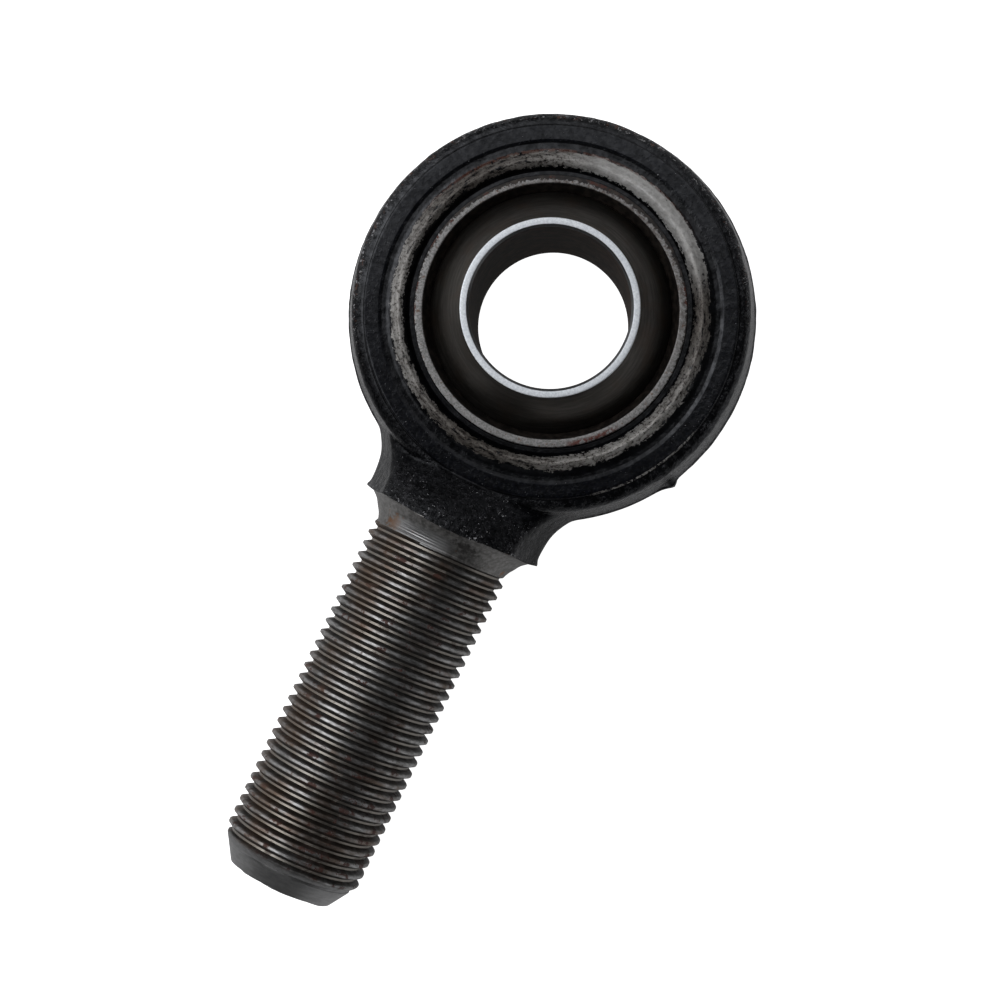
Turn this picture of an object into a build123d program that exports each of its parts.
from build123d import *
import os
from math import radians, tan

# Heavy male rod end with a spherical bearing: ball, two race inserts and a forged body.
# Frame: origin at the ball's centre, +Z along the ball's bore (the front face is +Z),
# the threaded shank runs along -Y, +X to the right. All sizes are millimetres.
# Names ending in _r are radii about the part's axis, names ending in _z are heights above
# the parting plane (Z = 0), names ending in _dist are distances from the centre along -Y.

os.makedirs("parts", exist_ok=True)

# ---------------------------------------------------------------- ball sizes
ball_d = 41.8                # spherical diameter
ball_width = 30.9            # across the two flat lands
bore_d = 25.4                # hole for the hinge pin
bore_chamfer = 0.45          # 45 degree lead-in at both mouths
land_break = 0.15            # rounded edge between each land and the sphere

ball_r = ball_d / 2
bore_r = bore_d / 2
land_r = (ball_r**2 - (ball_width / 2) ** 2) ** 0.5

# ---------------------------------------------------------------- race insert sizes
running_clearance = 0.04     # radial gap between ball and race
race_outer_r = 22.6          # press seat in the eye
race_gap = 1.2               # lubrication gap between the two inserts
seat_top_z = 8.1             # the spherical seat ends here
race_face_z = 10.45          # annular end face of each insert
race_mouth_r = 20.42         # mouth of the flare above the seat
race_rim_r = 21.66           # outside of the insert's end face
race_break = 0.1             # 45 degree edge break on the end face

seat_r = ball_r + running_clearance

# ---------------------------------------------------------------- eye sizes, inside to outside
lip_z = 8.0                  # where the swaged lip leaves the press seat
lip_end_z = lip_z + (race_outer_r - race_rim_r)  # top of the 45 degree lip
groove_floor_z = 9.3         # floor of the swaging groove
groove_outer_r = 22.45
ridge_in_r = 23.15           # inner flank of the raised ring left by the swaging tool
ridge_r = 24.13              # its crest
ridge_out_r = 25.2           # its outer flank
ridge_z = 10.8
ridge_flank_drop = 0.72      # flank points below the crest
ridge_start_tangent = (1, 0.55)
ridge_end_tangent = (1, -0.1)
valley_r = 26.2
valley_z = 9.35
step_r = 27.07               # small step up to the coined band
step_run = 0.12              # radial run of the steps on either side of the band
band_in_z = 9.95
band_out_z = 9.8
band_out_r = 29.75
rim_step = 0.25              # drop from the band to the rim
rim_r = 31.0                 # where the rim starts to round over
rim_z = 9.15
rim_round_mid = (rim_r + 0.62, rim_z - 0.52)  # point halfway round the rounding
rim_round_r = 31.95
rim_round_z = 7.6
head_r = 33.0                # where the side wall meets the flash
flash_r = 33.25              # trimmed flash at the parting plane
flash_half = 0.5             # half thickness of the flash at its root
flash_taper = 0.15           # lost from that half thickness at the flash's edge

# ---------------------------------------------------------------- neck sizes
neck_draft = 22.0            # degrees each side of the parting plane
neck_edge_r = 2.6            # rounding between crown and side walls
min_corner_z = 1.0           # section vertices further from the parting plane are rounded
neck_sections = [            # distance, half width, half height, crown radius
    (21.0, 19.2, 8.7, 60.0),
    (25.0, 19.3, 8.9, 55.0),
    (27.3, 18.4, 9.1, 45.0),
    (29.5, 16.85, 9.6, 36.0),
    (32.0, 15.75, 11.0, 27.0),
    (35.0, 15.4, 12.75, 21.5),
    (38.0, 15.4, 13.4, 20.0),
    (42.0, 15.4, 13.5, 20.0),
]
neck_hollow_r = (race_outer_r + ridge_out_r) / 2  # within the eye's own wall
neck_hollow_height = 60.0    # well past the neck, front and back
envelope_start_dist = 10.0   # the turned envelope is wider than the neck from here
envelope_r = 45.0            # to the shoulder
shoulder_dist = 37.5         # turned shoulder
shoulder_r = 15.45
flare = [                    # radius, distance: arc from the shoulder down to the shank
    (13.95, 37.85),
    (12.35, 39.65),
    (11.3, 41.6),
]
flare_end_r, flare_end_dist = flare[-1]

# ---------------------------------------------------------------- shank sizes
thread_nominal_d = 24.0      # M24 x 2, right-hand
thread_d = 23.7              # actual major diameter
thread_root_d = 21.54
pitch = 2.0
flank_slope = tan(radians(30))
thread_start_dist = 40.6     # the ridge starts hidden inside the flare
ridge_sink = 0.15            # depth of the ridge's foot inside the core
core_overrun = 3.0           # extra core into the flare and past the tip
runout = 1.3                 # length over which the crest rises to full height
shank_end_dist = 101.8
shank_end_r = 8.82
end_cone_length = 4.8

# the cutters for the run-out and the tip reach past the metal they remove
cutter_r = 20.0
runout_clearance = 0.3       # radial
runout_back = 4.0            # towards the eye
tip_reach = 1.4 * end_cone_length  # sloped face, from the tip towards the eye
tip_overrun = 8.0            # past the tip

crest_r = thread_d / 2
root_r = thread_root_d / 2


# ---------------------------------------------------------------- helpers
def save(part, name):
    part.label = name
    export_step(part, f"parts/{name}.step")


def circles_of_radius(builder, radius):
    circles = builder.edges().filter_by(GeomType.CIRCLE)
    return circles.filter_by(lambda edge: abs(edge.radius - radius) < 1e-3)


def turned_ring(points):
    """Closed outline of (radius, Y) points turned about the shank's axis."""
    with BuildPart() as ring:
        with BuildSketch(Plane.XY):
            with BuildLine():
                Polyline(*points, close=True)
            make_face()
        revolve(axis=Axis.Y)
    return ring.part


# ---------------------------------------------------------------- ball
def make_ball():
    with BuildPart() as ball:
        with BuildSketch(Plane.XZ):
            Circle(ball_r)
            Rectangle(2 * ball_r, ball_width, mode=Mode.INTERSECT)
            # keep the +X half, for revolving
            with Locations((-ball_r, 0)):
                Rectangle(2 * ball_r, 2 * ball_r, mode=Mode.SUBTRACT)
            # keep only the material outside the bore
            Rectangle(2 * bore_r, 2 * ball_r, mode=Mode.SUBTRACT)
        revolve(axis=Axis.Z)
        chamfer(circles_of_radius(ball, bore_r), length=bore_chamfer)
        fillet(circles_of_radius(ball, land_r), radius=land_break)
    return ball.part


# ---------------------------------------------------------------- race inserts
def seat_point(z):
    """Point (radius, z) on the spherical seat."""
    return ((seat_r**2 - z**2) ** 0.5, z)


def make_front_race_insert():
    inner_z = race_gap / 2
    seat_start = seat_point(inner_z)
    seat_end = seat_point(seat_top_z)
    with BuildPart() as insert:
        with BuildSketch(Plane.XZ):
            with BuildLine():
                ThreePointArc(seat_start, seat_point((inner_z + seat_top_z) / 2), seat_end)
                Polyline(
                    seat_end,
                    (race_mouth_r, race_face_z - race_break),
                    (race_mouth_r + race_break, race_face_z),
                    (race_rim_r - race_break, race_face_z),
                    (race_rim_r, race_face_z - race_break),
                    (race_rim_r, lip_end_z),
                    (race_outer_r, lip_z),
                    (race_outer_r, inner_z),
                    seat_start,
                )
            make_face()
        revolve(axis=Axis.Z)
    return insert.part


def make_rear_race_insert(front_insert):
    with BuildPart() as insert:
        add(front_insert)
        mirror(about=Plane.XY, mode=Mode.REPLACE)
    return insert.part


# ---------------------------------------------------------------- neck
def neck_corner(half_width, half_height, crown_r):
    """Where the crown meets the drafted side wall, found by fixed-point iteration."""
    z = half_height - 2  # first guess
    for _ in range(40):
        x = half_width - z * tan(radians(neck_draft))
        z = half_height - crown_r + (crown_r**2 - x**2) ** 0.5
    return x, z


def make_neck():
    """Drop-forged: drafted both ways from the parting plane, crowned front and back."""
    with BuildPart() as neck:
        for distance, half_width, half_height, crown_r in neck_sections:
            x, z = neck_corner(half_width, half_height, crown_r)
            with BuildSketch(Plane.XZ.offset(distance)) as section:
                with BuildLine():
                    ThreePointArc((x, z), (0, half_height), (-x, z))
                    Polyline((-x, z), (-half_width, 0), (-x, -z))
                    ThreePointArc((-x, -z), (0, -half_height), (x, -z))
                    Polyline((x, -z), (half_width, 0), (x, z))
                make_face()
                corners = section.vertices().filter_by(lambda v: abs(v.Y) > min_corner_z)
                fillet(corners, radius=neck_edge_r)
        loft()
    return neck.part


def make_turned_envelope():
    """Everything outside this shape is machined away from the neck."""
    flare_points = [(radius, -distance) for radius, distance in flare]
    with BuildPart() as envelope:
        with BuildSketch(Plane.XY):
            with BuildLine():
                Polyline(
                    (0, -envelope_start_dist),
                    (envelope_r, -envelope_start_dist),
                    (envelope_r, -shoulder_dist),
                    (shoulder_r, -shoulder_dist),
                    flare_points[0],
                )
                ThreePointArc(*flare_points)
                Polyline(flare_points[-1], (0, -flare_end_dist), (0, -envelope_start_dist))
            make_face()
        revolve(axis=Axis.Y)
    return envelope.part


# ---------------------------------------------------------------- threaded shank
def make_thread_ridge():
    """Right-hand ridge: one trapezoid swept along the helix, sunk a little into the core."""
    crest_half = pitch / 16 + (thread_nominal_d / 2 - crest_r) * flank_slope
    foot_r = root_r - ridge_sink
    foot_half = crest_half + (crest_r - foot_r) * flank_slope
    with BuildPart() as ridge:
        with BuildLine() as thread_path:
            Helix(
                pitch=pitch,
                height=shank_end_dist + pitch - thread_start_dist,
                radius=root_r,
                center=(0, -thread_start_dist, 0),
                direction=(0, -1, 0),
            )
        start = thread_path.line @ 0
        outward = Vector(start.X, 0, start.Z).normalized()
        section_plane = Plane(
            origin=(0, start.Y, 0),
            x_dir=outward,
            z_dir=outward.cross(Vector(0, -1, 0)),
        )
        with BuildSketch(section_plane):
            with BuildLine():
                Polyline(
                    (foot_r, -foot_half),
                    (crest_r, -crest_half),
                    (crest_r, crest_half),
                    (foot_r, foot_half),
                    close=True,
                )
            make_face()
        sweep(path=thread_path.line, is_frenet=True)
    return ridge.part


def make_runout_cutter():
    """Trims the flare end of the thread, so that the crest rises over the run-out."""
    slope = (crest_r - flare_end_r) / runout
    cut_end_y = -flare_end_dist - runout - runout_clearance / slope
    return turned_ring([
        (flare_end_r, -flare_end_dist + runout_back),
        (flare_end_r, -flare_end_dist),
        (crest_r + runout_clearance, cut_end_y),
        (cutter_r, cut_end_y),
        (cutter_r, -flare_end_dist + runout_back),
    ])


def make_tip_cutter():
    """Leaves the end cone and the flat end."""
    cone_slope = (crest_r - shank_end_r) / end_cone_length
    return turned_ring([
        (shank_end_r, -shank_end_dist),
        (shank_end_r + tip_reach * cone_slope, -shank_end_dist + tip_reach),
        (cutter_r, -shank_end_dist + tip_reach),
        (cutter_r, -shank_end_dist - tip_overrun),
        (0, -shank_end_dist - tip_overrun),
        (0, -shank_end_dist),
    ])


def make_shank():
    thread_ridge = make_thread_ridge()
    tip_cutter = make_tip_cutter()
    runout_cutter = make_runout_cutter()
    with BuildPart() as shank:
        with BuildSketch(Plane.XZ.offset(flare_end_dist - core_overrun)):
            Circle(root_r)
        extrude(amount=shank_end_dist + 2 * core_overrun - flare_end_dist)
        add(thread_ridge)
        add(tip_cutter, mode=Mode.SUBTRACT)
        add(runout_cutter, mode=Mode.SUBTRACT)
    return shank.part


# ---------------------------------------------------------------- forged body
def make_rod_end_body():
    neck = make_neck()
    turned_envelope = make_turned_envelope()
    shank = make_shank()
    with BuildPart() as body:
        # neck, turned at the shoulder, and hollowed where the eye's own wall takes over
        add(neck)
        add(turned_envelope, mode=Mode.INTERSECT)
        Cylinder(radius=neck_hollow_r, height=neck_hollow_height, mode=Mode.SUBTRACT)
        add(shank)
        # eye: front half of the profile, mirrored to the rear
        with BuildSketch(Plane.XZ):
            with BuildLine():
                Polyline(
                    (race_outer_r, 0),
                    (race_outer_r, lip_z),
                    (race_rim_r, lip_end_z),
                    (race_rim_r, groove_floor_z),
                    (groove_outer_r, groove_floor_z),
                )
                Spline(
                    (groove_outer_r, groove_floor_z),
                    (ridge_in_r, ridge_z - ridge_flank_drop),
                    (ridge_r, ridge_z),
                    (ridge_out_r, ridge_z - ridge_flank_drop),
                    (valley_r, valley_z),
                    tangents=(ridge_start_tangent, ridge_end_tangent),
                )
                Polyline(
                    (valley_r, valley_z),
                    (step_r, valley_z),
                    (step_r + step_run, band_in_z),
                    (band_out_r, band_out_z),
                    (band_out_r + step_run, band_out_z - rim_step),
                    (rim_r, rim_z),
                )
                ThreePointArc((rim_r, rim_z), rim_round_mid, (rim_round_r, rim_round_z))
                Polyline(
                    (rim_round_r, rim_round_z),
                    (head_r, flash_half),
                    (flash_r, flash_half - flash_taper),
                    (flash_r, 0),
                    (race_outer_r, 0),
                )
            make_face()
            mirror(about=Plane.XZ)  # the sketch's own XZ plane, which is the parting plane
        revolve(axis=Axis.Z)
    return body.part


save(make_ball(), "ball")
front_race_insert = make_front_race_insert()
save(front_race_insert, "front_race_insert")
save(make_rear_race_insert(front_race_insert), "rear_race_insert")
save(make_rod_end_body(), "rod_end_body")
